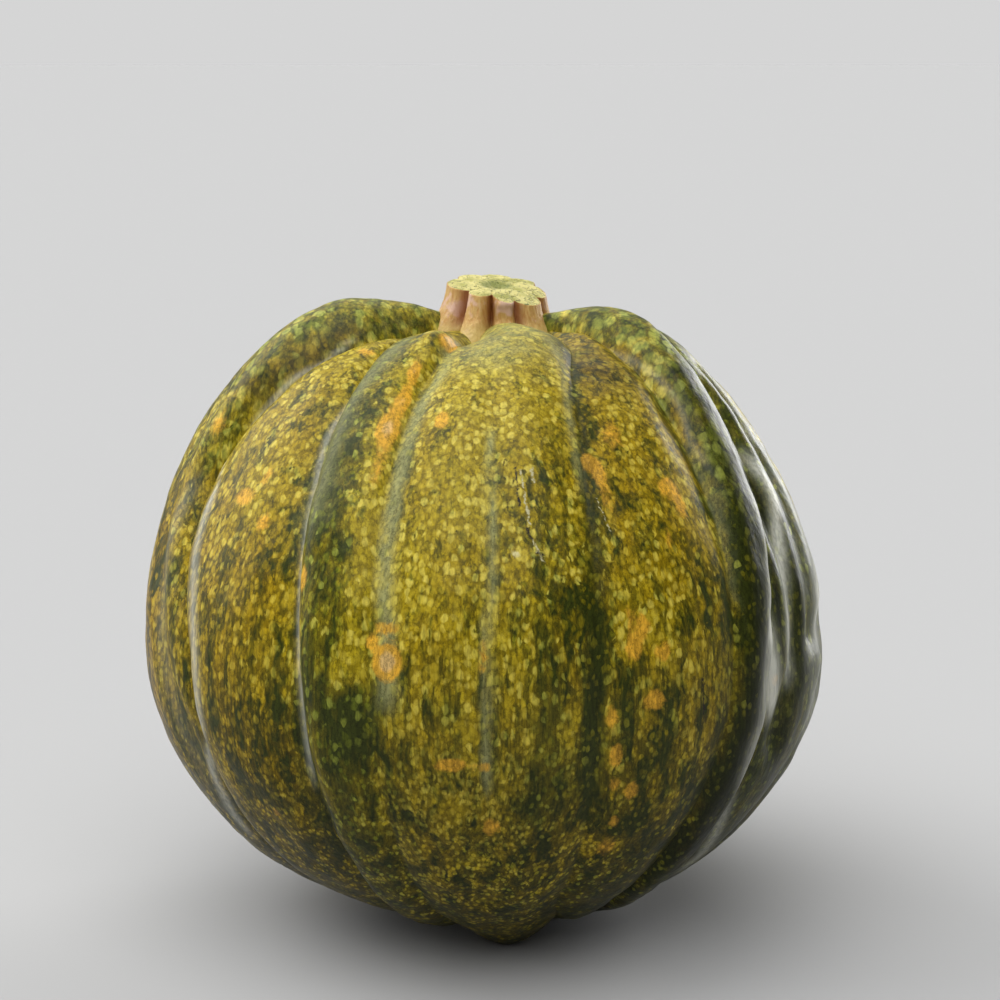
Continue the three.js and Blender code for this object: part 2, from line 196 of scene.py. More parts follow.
# Patches of paint, by what they change: azimuth, latitude, half widths in degrees, strength. Orange
# over 1 pales to salmon.
PATCHES = {"orange": [
    ("salmon spot", -14.7, 8.8, 1.8, 2.2, 1.9),
    ("tail of the salmon spot", -17.4, 11.6, 0.9, 1.1, 1),
    ("yellow over the salmon spot", -15, 13.8, 2.4, 1.0, 0.6),
    ("spot on the nose", -14, 66, 3.2, 1.9, 1.05),
    ("high spot on the left rib", -20.4, 57.3, 1.3, 1.4, 0.75),
    ("middle spot on the left rib", -20, 50.8, 1.2, 2, 0.85),
    ("low spot on the left rib", -21.3, 45.2, 1.9, 2.2, 1.15),
    ("pale spot high on the front lobe", -9.3, 47, 1.5, 1.7, 1.0),
    ("spot in the dark strip", 21, 39.7, 1.4, 1.5, 1),
    ("foot of the spot in the dark strip", 22.6, 37.6, 0.9, 1.8, 0.9),
    ("spot under the right rib", 36.2, 34, 2, 1.7, 0.95),
    ("foot of the spot under the right rib", 37.8, 31, 1.3, 2.2, 0.85),
    ("thin spot", 32.4, 26, 0.8, 2.4, 0.6),
    ("ochre high on the front right lobe", 28.5, 44, 3.5, 4, 0.42),
    ("ochre left on the front right lobe", 23, 34, 2, 5, 0.35),
    ("high drop", 25.2, 13.3, 1, 1.9, 0.9),
    ("left drop", 23.2, 10, 1.3, 1.7, 0.9),
    ("tail of the left drop", 23.1, 14.5, 1, 3, 0.5),
    ("right drop", 28, 9.1, 1.2, 1.5, 0.9),
    ("square spot", 26.1, 2, 1.7, 1.5, 0.95),
    ("dull spot", 19.4, 0, 1.1, 2.2, 0.6),
    ("low drop", 20.3, -6.2, 1, 2, 0.9),
    ("low right drop", 23.5, -12.5, 1.1, 1.7, 0.9),
    ("low left drop", 20.5, -11.2, 0.9, 1.4, 0.6),
    ("lowest drop", 21.6, -18.2, 0.9, 1.3, 0.75),
    ("ochre foot of the front right lobe", 21.5, -24, 2.4, 2.6, 0.5),
    ("long spot low on the front lobe", -5, -6.3, 2.3, 1.0, 1.1),
    ("short spot low on the front lobe", -0.2, -6.7, 1, 1.1, 0.7),
    ("lowest spot on the front lobe", 1.1, -17.4, 1.0, 1.7, 1.1),
    ("spots on the wax line", -0.6, 10, 0.8, 3.6, 0.6),
    ("fleck in the left groove", -30.3, 20, 0.8, 2.1, 0.9),
    ("orange spot on the left lobe", -49, 30.8, 2.4, 1.6, 0.8),
    ("right spot on the left lobe", -42.2, 27.6, 1.3, 1.7, 0.8),
    ("yellow on the left lobe", -45.6, 34.8, 1.2, 2.2, 0.55),
    ("high yellow on the left lobe", -47.9, 63, 4.5, 1.4, 0.55),
    ("low spot on the left lobe", -37.5, -19.5, 1, 1.4, 0.6),
    ("yellow on the left shoulder", -70, 40, 2, 3, 0.5),
    ("speck on the wrinkled lobe", 54.5, 0, 0.8, 1.1, 0.8),
], "yellow": [
    ("yellow foot of the front right lobe", 20, -24, 4, 4, 0.6),
    ("yellow low on the front lobe", -8, -25, 7, 5, 0.3),
    ("pale cells on the right shoulder", 53, 57, 5, 9, 0.15),
    ("dull patch by the salmon spot", -20, 0, 5, 6, -0.5),
    ("dull patch low on the front lobe", -6.5, 2, 3.5, 2, -0.45),
], "coarse": [
    ("large cells on the right shoulder", 54, 54, 7, 9, 0.8),
], "bloom": [
    ("wax by the stem", 2, 62, 12, 5, 0.3),
], "shade": [
    ("shade at the top of the front right lobe", 36, 60, 10, 9, 0.7),
    ("shade over the right shoulder", 54, 50, 8, 12, 0.25),
# Painted highlight: a pale patch of glancing light by the nick.
], "painted_sheen": [
    ("painted highlight by the nick", 76, 8, 3, 5, 0.7),
]}

# Fine marks: what they are made of, from where to where (azimuth, latitude), and width in mm.
STROKES = [
    ("scar", (6.7, 38.2), (7.7, 29.5), 0.45),
    ("scar", (8.9, 38.3), (9.1, 36.2), 0.6),
    ("scar", (7.9, 27.4), (9.6, 23.8), 0.38),
    ("scar", (20.9, 33.5), (22.2, 28), 0.28),
    ("pit", (5.9, 38.6), (6.2, 32.5), 0.45),
    ("pit", (7.3, 28.8), (7.7, 27.6), 0.9),
    ("pit", (8.8, 25.2), (9.7, 24.7), 0.7),
    ("pit", (35.2, 4), (35.6, -3), 0.4),
    ("pale", (5.1, 25.4), (5.2, 25.1), 1.1),
]


def smooth_line(points, at):
    """Heights along a smooth line through the points, level at both ends and never past them."""
    xs, ys = np.array(points, float).T
    secants = np.diff(ys) / np.diff(xs)
    before, after = secants[:-1], secants[1:]
    agree = before * after > 0
    slopes = np.zeros(len(xs))
    slopes[1:-1][agree] = (2 * before * after / np.where(agree, before + after, 1))[agree]
    x = np.clip(at, xs[0], xs[-1])
    i = np.clip(np.searchsorted(xs, x) - 1, 0, len(xs) - 2)
    h = xs[i + 1] - xs[i]
    t = (x - xs[i]) / h
    u = 1 - t
    ends = ys[i] * u * u * (1 + 2 * t) + ys[i + 1] * t * t * (3 - 2 * t)
    return ends + h * t * u * (slopes[i] * u - slopes[i + 1] * t)


def bell(x):
    return np.exp(-x * x)


def turn(angle):
    return np.mod(angle + 180, 360) - 180


def step(x, low, high):
    t = np.clip((x - low) / (high - low), 0, 1)
    return t * t * (3 - 2 * t)


def column_shares(columns):
    share = np.arange(columns) / columns
    return share - BUNCHING * np.sin(2 * np.pi * share) / (2 * np.pi)


def in_patch(azimuth, height, at, up, across, along):
    """1 in the middle of a patch, fading round it."""
    return bell(turn(azimuth - at) / across) * bell((height - up) / along)


def on_line(azimuth, latitude, path, across):
    """1 along a line down the skin, fading to its sides and beyond its ends."""
    first, last = path[0][0], path[-1][0]
    opening = step(latitude, first - LINE_END, first) * (1 - step(latitude, last, last + LINE_END))
    return opening * bell(turn(azimuth - smooth_line(path, latitude)) / across)


def over_lobes(key, latitudes, at):
    """One value of every lobe at each latitude: a row for each latitude, a column for each lobe."""
    return np.array([smooth_line(list(zip(latitudes, lobe[key])), at) for lobe in LOBES]).T


def relief(azimuth, latitude):
    """Height of the swellings and creases in each direction."""
    height = np.zeros(np.broadcast(azimuth, latitude).shape)
    for _, *patch, rise in SWELLINGS:
        height += rise * in_patch(azimuth, latitude, *patch)
    for _, path, across, depth in CREASES:
        height -= depth * on_line(azimuth, latitude, path, across)
    return height


def skin_net(latitude):
    """Azimuth, radius and lobe of each point of the skin's net, one row for each latitude."""
    lobe_number = np.concatenate([np.full(lobe["columns"], i) for i, lobe in enumerate(LOBES)])
    share = np.concatenate([column_shares(lobe["columns"]) for lobe in LOBES])
    after = (lobe_number + 1) % len(LOBES)
    edge = over_lobes("edge", EDGE_LATITUDES, latitude)
    groove = over_lobes("groove", LEVEL_LATITUDES, latitude)
    crown = over_lobes("crown", LEVEL_LATITUDES, latitude)
    flanks = np.array([lobe["flanks"] for lobe in LOBES])
    width = np.mod(edge[:, after] - edge[:, lobe_number], 360)
    azimuth = edge[:, lobe_number] + width * share
    flank = np.where(share < 0.5, flanks[lobe_number, 0], flanks[lobe_number, 1])
    rise = 1 - np.abs(2 * share - 1) ** flank
    low = groove[:, lobe_number] * (1 - share) + groove[:, after] * share
    level = low + (crown[:, lobe_number] - low) * rise
    rows = latitude[:, None]
    fade = step(90 - np.abs(rows), 0, POLE_FADE)
    radius = smooth_line(PROFILE, rows) + level * fade + relief(azimuth, rows)
    return azimuth, radius, lobe_number, share


def skin_points(azimuth, latitude, radius):
    out = radius * np.cos(np.radians(latitude))
    x = HEART[0] + out * np.sin(np.radians(azimuth))
    y = HEART[1] - out * np.cos(np.radians(azimuth))
    z = HEART[2] + radius * np.sin(np.radians(latitude))
    return np.stack([x, y, np.maximum(z, 0)], -1)


def paint(azimuth, latitude, lobe_number, share):
    """How much of each kind of paint lies on each point of the skin's net."""
    rows = latitude[:, None]
    before = (lobe_number - 1) % len(LOBES)
    after = (lobe_number + 1) % len(LOBES)
    own = 0.5 + 0.5 * np.minimum(step(share, 0, PAINT_EDGE), step(1 - share, 0, PAINT_EDGE))
    neighbour = np.where(share < 0.5, before, after)
    amounts = {}
    for key in ("yellow", "brown", "bloom", "coarse"):
        levels = over_lobes(key, LEVEL_LATITUDES, latitude)
        amounts[key] = levels[:, lobe_number] * own + levels[:, neighbour] * (1 - own)
    for key in ("orange", "painted_sheen", "shade"):
        amounts[key] = np.zeros(azimuth.shape)
    # Painted shade and finer flecks on the low part of the fruit.
    amounts["low_flecks_and_shade"] = np.broadcast_to(1 - step(rows, *LOW_FLECKS_AND_SHADE_RANGE), azimuth.shape)
    for key, washes in WASHES.items():
        for _, path, across, strength in washes:
            amounts[key] += strength * on_line(azimuth, rows, path, across)
    for key, patches in PATCHES.items():
        for _, *patch, strength in patches:
            amounts[key] += strength * in_patch(azimuth, rows, *patch)
    return amounts


def closed_net(name, low, rings, high):
    """One closed mesh from rings of points, stacked from the lower pole to the upper one."""
    ring_count, count = rings.shape[:2]
    points = np.vstack([low, rings.reshape(-1, 3), high])
    column = np.arange(count)
    beside = (column + 1) % count
    base = 1 + np.arange(ring_count - 1)[:, None] * count
    above = base + count
    quads = np.stack([base + column, base + beside, above + beside, above + column], -1).reshape(-1, 4)
    last = len(points) - 1
    top = 1 + (ring_count - 1) * count
    low_fan = np.stack([np.zeros(count, int), 1 + beside, 1 + column], -1)
    high_fan = np.stack([np.full(count, last), top + column, top + beside], -1)
    mesh = bpy.data.meshes.new(name)
    mesh.from_pydata((points * MM).tolist(), [], quads.tolist() + low_fan.tolist() + high_fan.tolist())
    mesh.shade_smooth()
    return mesh


def store(mesh, name, values):
    """Keeps a number for each point of a closed net: its rings, then the same for both poles."""
    flat = np.concatenate([values[0, :1], values.ravel(), values[-1, :1]])
    attribute = mesh.attributes.new(name, "FLOAT", "POINT")
    attribute.data.foreach_set("value", flat.astype(np.float32))


def link_object(data):
    """A new object in the scene, named after its mesh, lamp or camera."""
    item = bpy.data.objects.new(data.name, data)
    bpy.context.scene.collection.objects.link(item)
    return item


class Tree:
    """Writes down one node tree: each call adds a node and gives back its output."""

    def __init__(self, tree):
        self.tree = tree
        self.nodes = tree.nodes

    def add(self, kind, inputs=None, **settings):
        node = self.nodes.new(kind)
        for key, value in settings.items():
            setattr(node, key, value)
        for key, value in (inputs or {}).items():
            self.put(node.inputs[key], value)
        return node

    def put(self, socket, value):
        if isinstance(value, bpy.types.NodeSocket):
            self.tree.links.new(value, socket)
        else:
            socket.default_value = value

    def math(self, operation, *values, clamp=False):
        inputs = dict(enumerate(values))
        return self.add("ShaderNodeMath", inputs, operation=operation, use_clamp=clamp).outputs[0]

    def plus(self, first, second, clamp=False):
        return self.math("ADD", first, second, clamp=clamp)

    def less(self, first, second):
        return self.math("SUBTRACT", first, second)

    def times(self, first, second, clamp=False):
        return self.math("MULTIPLY", first, second, clamp=clamp)

    def one_over(self, value):
        return self.math("DIVIDE", 1.0, value)

    def without(self, value, share):
        """The value with this share of it taken off."""
        return self.times(value, self.less(1.0, share))

    def between(self, share, first, second):
        """The first number where the share is 0 and the second where it is 1."""
        return self.plus(self.times(first, self.less(1.0, share)), self.times(second, share))

    def centred(self, value, size):
        """A value from 0 to 1 made to swing round 0, as wide as the size."""
        return self.times(self.less(value, 0.5), size)

    def lines(self, value, width):
        """Thin lines where a value from 0 to 1 passes its middle."""
        return self.rise(self.math("ABSOLUTE", self.less(value, 0.5)), width, 0.0)

    def rise(self, value, low, high, to_low=0.0, to_high=1.0):
        """A smooth rise from to_low to to_high as the value goes from low to high."""
        inputs = {"Value": value, "From Min": low, "From Max": high, "To Min": to_low, "To Max": to_high}
        return self.add("ShaderNodeMapRange", inputs, interpolation_type="SMOOTHSTEP").outputs["Result"]

    def vector(self, operation, *values):
        node = self.add("ShaderNodeVectorMath", dict(enumerate(values)), operation=operation)
        return node.outputs["Value" if operation in ("DOT_PRODUCT", "LENGTH") else "Vector"]

    def scaled(self, vector, scale):
        inputs = {0: vector, "Scale": scale}
        return self.add("ShaderNodeVectorMath", inputs, operation="SCALE").outputs[0]

    def upright(self, vector, share):
        """Keeps only a share of a vector's height, which draws a pattern out upright."""
        return self.vector("MULTIPLY", vector, (1.0, 1.0, share))

    def noise(self, vector, scale, detail=2.0, roughness=0.5):
        return self.add("ShaderNodeTexNoise", {"Vector": vector, "Scale": scale, "Detail": detail,
                                               "Roughness": roughness}).outputs

    def swing(self, noise, size):
        """A noise's colour as a push to any side."""
        return self.scaled(self.vector("SUBTRACT", noise["Color"], (0.5, 0.5, 0.5)), size)

    def mix(self, factor, first, second, blend="MIX"):
        """Blends two colours."""
        inputs = {0: factor, 6: first, 7: second}
        return self.add("ShaderNodeMix", inputs, data_type="RGBA", blend_type=blend).outputs[2]

    def amount(self, name):
        """The number that store() keeps under this name for each point."""
        return self.add("ShaderNodeAttribute", attribute_name=name).outputs["Fac"]

    def place(self):
        """The place on the piece, in millimetres."""
        return self.scaled(self.add("ShaderNodeTexCoord").outputs["Object"], 1 / MM)


FLOAT = "NodeSocketFloat"
INTEGER = "NodeSocketInt"
VECTOR = "NodeSocketVector"
GEOMETRY = "NodeSocketGeometry"
MATERIAL = "NodeSocketMaterial"


def start_group(name, inputs, outputs, kind="ShaderNodeTree"):
    """A node group with named sockets. Inputs are name, socket type and starting value."""
    tree = bpy.data.node_groups.new(name, kind)
    for label, socket_type, value in inputs:
        socket = tree.interface.new_socket(name=label, in_out="INPUT", socket_type=socket_type)
        if value is not None:
            socket.default_value = value
    for label, socket_type in outputs:
        tree.interface.new_socket(name=label, in_out="OUTPUT", socket_type=socket_type)
    t = Tree(tree)
    return t, t.add("NodeGroupInput").outputs, t.add("NodeGroupOutput").inputs


def start_tree(owner):
    """An empty node tree for a material or a world."""
    owner.use_nodes = True
    owner.node_tree.nodes.clear()
    return Tree(owner.node_tree)


def finish_material(t, height, strength, depth, **looks):
    """Ends a material with a shader that has these looks, and with a bump that follows the height."""
    bump = t.add("ShaderNodeBump", {"Height": height, "Strength": strength, "Distance": depth})
    inputs = {label.replace("_", " "): value for label, value in looks.items()}
    shader = t.add("ShaderNodeBsdfPrincipled", {**inputs, "Normal": bump.outputs["Normal"]})
    t.add("ShaderNodeOutputMaterial", {"Surface": shader.outputs[0]})


# A fleck is full up to the first share of its size and gone beyond the second. Its rim wavers, in
# waves that are finer than the flecks, and soft flecks run into each other.
FLECK_FULL = 0.32
FLECK_END = 0.68
RIM_WAVER = 0.3
RIM_WAVES = 2.4
FLECK_SOFTNESS = 0.2


def make_flecks_group(name, feature):
    """Round flecks with dark between them, and two numbers that differ from fleck to fleck."""
    t, given, result = start_group(
        name, [("Vector", VECTOR, None), ("Size", FLOAT, 2.0)],
        [("Fleck", FLOAT), ("Tone", FLOAT), ("Rank", FLOAT)])
    scale = t.one_over(given["Size"])
    cells = t.add("ShaderNodeTexVoronoi", {"Vector": given["Vector"], "Scale": scale}, feature=feature)
    if feature == "SMOOTH_F1":
        t.put(cells.inputs["Smoothness"], FLECK_SOFTNESS)
    rim = t.noise(given["Vector"], t.times(scale, RIM_WAVES), detail=0.0)["Fac"]
    away = t.plus(cells.outputs["Distance"], t.centred(rim, RIM_WAVER))
    own = t.add("ShaderNodeSeparateColor", {0: cells.outputs["Color"]})
    t.put(result["Fleck"], t.rise(away, FLECK_END, FLECK_FULL))
    t.put(result["Tone"], own.outputs[0])
    t.put(result["Rank"], own.outputs[1])
    return t.tree


def make_stroke_group():
    """A short stroke from Start to End: full along its middle and gone beyond its Width."""
    t, given, result = start_group(
        "Stroke", [("Vector", VECTOR, None), ("Start", VECTOR, (0, 0, 0)), ("End", VECTOR, (0, 0, 1)),
                   ("Width", FLOAT, 0.5)], [("Mask", FLOAT)])
    whole = t.vector("SUBTRACT", given["End"], given["Start"])
    part = t.vector("SUBTRACT", given["Vector"], given["Start"])
    share = t.math("DIVIDE", t.vector("DOT_PRODUCT", part, whole),
                   t.vector("DOT_PRODUCT", whole, whole), clamp=True)
    away = t.vector("LENGTH", t.vector("SUBTRACT", part, t.scaled(whole, share)))
    t.put(result["Mask"], t.rise(away, given["Width"], 0.0))
    return t.tree


def make_streaks_group():
    """Long soft streaks: a pattern drawn out by Stretch along the third axis of its vector."""
    t, given, result = start_group(
        "Streaks", [("Vector", VECTOR, None), ("Width", FLOAT, 2.0), ("Stretch", FLOAT, 6.0),
                    ("Contrast", FLOAT, 1.0)], [("Mask", FLOAT)])
    shrink = t.add("ShaderNodeCombineXYZ", {0: 1.0, 1: 1.0, 2: t.one_over(given["Stretch"])})
    drawn = t.vector("MULTIPLY", given["Vector"], shrink.outputs[0])
    noise = t.noise(drawn, t.one_over(given["Width"]), detail=3.0, roughness=0.55)["Fac"]
    t.put(result["Mask"], t.plus(t.centred(noise, given["Contrast"]), 0.5, clamp=True))
    return t.tree


soft_flecks_group = make_flecks_group("Soft flecks", "SMOOTH_F1")
crisp_flecks_group = make_flecks_group("Crisp flecks", "F1")
stroke_group = make_stroke_group()
streaks_group = make_streaks_group()


def use_group(t, group, **values):
    node = t.add("ShaderNodeGroup", node_tree=group)
    for key, value in values.items():
        t.put(node.inputs[key], value)
    return node.outputs


def linear(red, green, blue):
    """A colour as a screen shows it, 0 to 255, in the linear numbers that a shader takes."""
    return tuple((c / 255 / 12.92) if c <= 10 else ((c / 255 + 0.055) / 1.055) ** 2.4
                 for c in (red, green, blue)) + (1.0,)


# Colours of the rind, as a screen shows them: the ground between the flecks, then the flecks.
GREEN_GROUND = linear(54, 60, 14)
YELLOW_GROUND = linear(140, 122, 12)
BROWN_GROUND = linear(110, 82, 0)
GREEN_FLECK = linear(100, 110, 18)
YELLOW_FLECK = linear(184, 164, 30)
BROWN_FLECK = linear(176, 134, 2)
PALE_GREEN_FLECK = linear(146, 152, 64)
PALE_FLECK = linear(206, 190, 84)
WAX = linear(152, 152, 100)
# Pale grey of the painted sheen, where light glances off the rind.
PAINTED_SHEEN = linear(226, 226, 214)
ORANGE = linear(220, 166, 50)
SALMON = linear(222, 180, 112)
STROKE_COLOURS = {"scar": linear(184, 178, 138), "pit": linear(34, 28, 20),
                  "pale": linear(206, 196, 140)}

# The rind's noises: how often each changes in a millimetre, how much of its height is left as it is
# drawn out upright, how many finer layers it has, and how strong they are.
NOISES = {
    "wander": (0.2, 1.0, 1.0, 0.5),
    "clouds": (0.09, 0.4, 3.0, 0.6),
    "mottle": (0.3, 0.35, 2.0, 0.6),
    "grain": (1.8, 1.0, 2.0, 0.6),
    "creases": (0.9, 1.0, 2.0, 0.6),
    "spots": (0.7, 1.0, 2.0, 0.5),
    "shake": (0.9, 1.0, 1.0, 0.5),
    "ripple": (0.6, 0.45, 2.0, 0.5),
}
STREAKS = {"Width": 3.2, "Stretch": 9.0, "Contrast": 2.6}
THREADS = {"Width": 0.7, "Stretch": 8.0, "Contrast": 2.5}
# Sizes in millimetres: three kinds of fleck, how far the patterns wander off, and how far the strokes
# shake. The flecks wander by only a share of it, and are drawn out a little.
NET_FLECK = 1.6
FINE_FLECK = 1.1
LARGE_FLECK = 2.6
WANDER = 4.5
SHAKE = 1.4
FLECK_WANDER = 0.22
FLECK_UPRIGHT = 0.7
# How far each pattern swings how yellow the rind is.
YELLOW_SWINGS = {"clouds": 1.3, "streaks": 1.3, "mottle": 0.9, "threads": 0.35}
# Shares of the light that creases, the painted shade of the low part of the fruit and other painted
# shade take away, how much less of it the flecks lose in creases, and the least light that stays.
CREASE_SHADE = 0.4
CREASE_SPARED = 0.35
LOW_PAINTED_SHADE = 0.42
PAINTED_SHADE = 0.8
LEAST_LIGHT = 0.04
RIND_BUMP = {"strength": 0.45, "depth": 0.0003}


def on_skin(azimuth, latitude):
    """The point of the skin that lies in a direction, in millimetres."""
    azimuths, radii, _, _ = skin_net(np.array([float(latitude)]))
    order = np.argsort(turn(azimuths[0]))
    radius = np.interp(azimuth, turn(azimuths[0])[order], radii[0][order])
    return tuple(float(c) for c in skin_points(azimuth, latitude, radius))


def make_rind():
    """Bright flecks on darker ground, fewer where the rind is green, under wax, spots, painted sheen,
    painted shade and scars.
    """
    material = bpy.data.materials.new("Rind")
    t = start_tree(material)

    def noise(kind, vector):
        per_mm, height_share, detail, roughness = NOISES[kind]
        return t.noise(t.upright(vector, height_share), per_mm, detail, roughness)

    place = t.place()
    bend = t.swing(noise("wander", place), WANDER)
    bent = t.vector("ADD", place, bend)
    drawn = t.upright(t.vector("ADD", place, t.scaled(bend, FLECK_WANDER)), FLECK_UPRIGHT)
    clouds = noise("clouds", bent)["Fac"]
    mottle = noise("mottle", bent)["Fac"]
    grain = noise("grain", drawn)["Fac"]
    streaks = use_group(t, streaks_group, Vector=bent, **STREAKS)["Mask"]
    threads = use_group(t, streaks_group, Vector=place, **THREADS)["Mask"]

    base = t.amount("yellow")
    patterns = {"clouds": clouds, "streaks": streaks, "mottle": mottle, "threads": threads}
    stray = 0.0
    for kind, size in YELLOW_SWINGS.items():
        stray = t.plus(stray, t.centred(patterns[kind], size))
    yellow = t.plus(base, t.times(stray, t.rise(base, 0.0, 0.6, 0.4, 1.0)), clamp=True)
    brown = t.plus(t.amount("brown"), t.centred(clouds, -1.0), clamp=True)
    coarse = t.rise(t.plus(t.amount("coarse"), t.centred(mottle, 0.6)), 0.4, 0.75)
    # Where the low part of the fruit gets painted shade and finer flecks.
    low_flecks_and_shade = t.amount("low_flecks_and_shade")

    net = use_group(t, soft_flecks_group, Vector=drawn, Size=NET_FLECK)
    fine = use_group(t, crisp_flecks_group, Vector=drawn, Size=FINE_FLECK)
    large = use_group(t, crisp_flecks_group, Vector=drawn, Size=LARGE_FLECK)
    missing = t.times(t.rise(yellow, 0.0, 1.0, 0.7, 0.0), t.rise(coarse, 0.0, 1.0, 1.0, 0.1))

    def shown(cells, least):
        """How much of its bright colour each fleck shows: the greener the rind, the fewer do."""
        present = t.rise(cells["Rank"], missing, t.plus(missing, 0.2))
        strength = t.times(present, t.rise(cells["Tone"], 0.0, 1.0, least, 1.0))
        return t.times(cells["Fleck"], strength)

    specks = shown(fine, 0.45)
    small = t.between(t.times(low_flecks_and_shade, 1.15, clamp=True), shown(net, 0.5), specks)
    show = t.between(coarse, small, shown(large, 0.55))
    dots = t.math("MAXIMUM", show, t.times(specks, 0.75))
    paleness = t.between(coarse, t.rise(net["Tone"], 0.2, 0.95, 0.06, 0.52),
                         t.rise(large["Tone"], 0.1, 0.9, 0.15, 0.9))
    paleness = t.times(paleness, t.rise(brown, 0.1, 0.8, 1.0, 0.25))
    paled = t.times(show, t.without(paleness, t.times(low_flecks_and_shade, 0.5)))

    ripe = t.rise(yellow, 0.1, 0.95)
    ground = t.mix(yellow, GREEN_GROUND, YELLOW_GROUND)
    ground = t.mix(brown, ground, t.mix(yellow, GREEN_GROUND, BROWN_GROUND))
    bright = t.mix(ripe, GREEN_FLECK, YELLOW_FLECK)
    bright = t.mix(t.times(brown, 0.8), bright, BROWN_FLECK)
    pale = t.mix(ripe, PALE_GREEN_FLECK, PALE_FLECK)
    skin = t.mix(dots, ground, bright)
    # The pale colour goes on in two thin coats, so that half-pale flecks come out quite pale.
    for _ in range(2):
        skin = t.mix(paled, skin, pale)

    wax = t.rise(t.plus(t.amount("bloom"), t.centred(mottle, 0.5)), 0.05, 0.9, 0.0, 0.85)
    skin = t.mix(t.without(wax, t.times(show, 0.4)), skin, WAX)
    orange = t.plus(t.amount("orange"), t.centred(noise("spots", bent)["Fac"], 0.5))
    over = t.times(t.rise(orange, 0.2, 0.55), t.rise(show, 0.0, 0.5, 0.75, 0.95))
    skin = t.mix(over, skin, t.mix(t.rise(orange, 0.9, 1.5), ORANGE, SALMON))

    creases = t.lines(noise("creases", drawn)["Fac"], 0.05)
    # Darkening from the rind's threads, grain and creases, and painted shade on the low part of the fruit
    # and where shade is painted.
    light = t.times(t.rise(threads, 0.1, 0.75, 0.72, 1.08), t.rise(grain, 0.25, 0.75, 0.88, 1.08))
    for taken in (t.times(low_flecks_and_shade, t.less(LOW_PAINTED_SHADE, t.times(dots, LOW_PAINTED_SHADE))),
                  t.times(creases, t.less(CREASE_SHADE, t.times(show, CREASE_SPARED))),
                  t.times(t.amount("shade"), PAINTED_SHADE)):
        light = t.without(light, taken)
    light = t.math("MAXIMUM", light, LEAST_LIGHT)
    grey = t.add("ShaderNodeCombineColor", {0: light, 1: light, 2: light}).outputs[0]
    skin = t.mix(1.0, skin, grey, "MULTIPLY")
    # Painted sheen: pale streaks of glancing light, put into the colour along the folds and ridges.
    painted_sheen = t.times(t.amount("painted_sheen"), t.rise(threads, 0.1, 0.8, 0.75, 1.1), clamp=True)
    skin = t.mix(t.times(painted_sheen, 0.75), skin, PAINTED_SHEEN)

    shaken = t.vector("ADD", place, t.swing(noise("shake", place), SHAKE))
    broken = t.rise(grain, 0.35, 0.6, 0.3, 1.6)
    for kind, start, end, width in STROKES:
        mask = use_group(t, stroke_group, Vector=shaken, Start=on_skin(*start), End=on_skin(*end),
                         Width=width)["Mask"]
        skin = t.mix(t.times(mask, broken, clamp=True), skin, STROKE_COLOURS[kind])

    rough = t.rise(t.plus(wax, t.times(mottle, 0.4)), 0.0, 1.2, 0.36, 0.55)
    finish_material(t, noise("ripple", place)["Fac"], **RIND_BUMP, Base_Color=skin, Roughness=rough,
                    Specular_IOR_Level=0.15)
    return material


# The stem: a bundle of corky ribs on a wide foot, cut off on a slant.
STEM = {
    "x": 3.0, "y": 0.0, "foot": 147.0,
    # Crest radius by height over the foot.
    "side": [(-5, 18.5), (0, 16.3), (2.2, 15), (4.5, 13.8), (7.5, 12.8), (10, 12.2), (12.5, 11.9)],
    # Grooves between the ribs: azimuth round the stem, and depth as a share of the radius.
    "grooves": [(-118, 0.14), (-42, 0.24), (-6, 0.27), (24, 0.16), (74, 0.17), (115, 0.15),
                (155, 0.17), (200, 0.14)],
    "rib_flank": 2.6, "columns_per_rib": 30, "side_rows": 80, "face_rows": 34,
    "cut_height": 158.2, "cut_rise": 0.14, "cut_lean": -0.08,
    # The cut drops off on its right and rounds over at its rim.
    "drop": 2.2, "drop_towards": (0.85, -0.53), "drop_from": 4, "drop_to": 14,
    "rim_drop": 0.5, "rim_sharpness": 9,
    "hollow_radius": 2.6, "hollow_depth": 1.6, "hollow_rim": 1.6,
    # Rings of the cut: where the first lies, how they crowd to the rim, and where the last lies.
    "face_start": 0.1, "face_crowding": 1.6, "face_end": 0.97,
    # How fast the brown and painted shade of the grooves fades from the cut's rim inwards.
    "groove_fade": 3,
}

# Dents and lips of the stem's side: azimuth, height over the foot, half widths, push outwards.
STEM_FORMS = [
    ("hollow under the lip", 6, 3.2, 10, 2.8, -1.3),
    ("lip over the hollow", 10, 7.6, 13, 1.0, 0.5),
    ("wide left foot", -80, 1.5, 50, 4, 0.6),
    ("slim right foot", 90, 1.5, 50, 5, -0.9),
]

# Colours of the stem, as a screen shows them: its side, then its cut.
FIBRE = linear(172, 120, 48)
PALE_FIBRE = linear(206, 172, 104)
PINK_CORK = linear(208, 172, 156)
# The grooves of the stem: their own brown, darkened further as painted shade.
GROOVE_BROWN_AND_SHADE = linear(128, 68, 10)
FOOT_CORK = linear(204, 180, 106)
CUT_GREEN = linear(150, 148, 66)
CUT_PALE = linear(200, 190, 116)
CRACK_GREEN = linear(70, 78, 18)
HOLLOW_GREEN = linear(96, 108, 30)
# The stem's patterns: its fibres, and how often its clouds and cracks change in a millimetre.
FIBRES = {"Width": 0.7, "Stretch": 9.0, "Contrast": 2.0}
CORK_CLOUDS = 0.25
CRACKS = 0.5
CRACK_WIDTH = 0.035
CORK_BUMP = {"strength": 0.5, "depth": 0.0004}


def cut_height(x, y):
    """Height of the cut through the stem, with a soft hollow in its middle."""
    hollow = STEM["hollow_depth"] * bell(np.hypot(x, y) / STEM["hollow_radius"])
    towards = STEM["drop_towards"]
    drop = STEM["drop"] * step(x * towards[0] + y * towards[1], STEM["drop_from"], STEM["drop_to"])
    return STEM["cut_height"] + STEM["cut_rise"] * y + STEM["cut_lean"] * x - hollow - drop


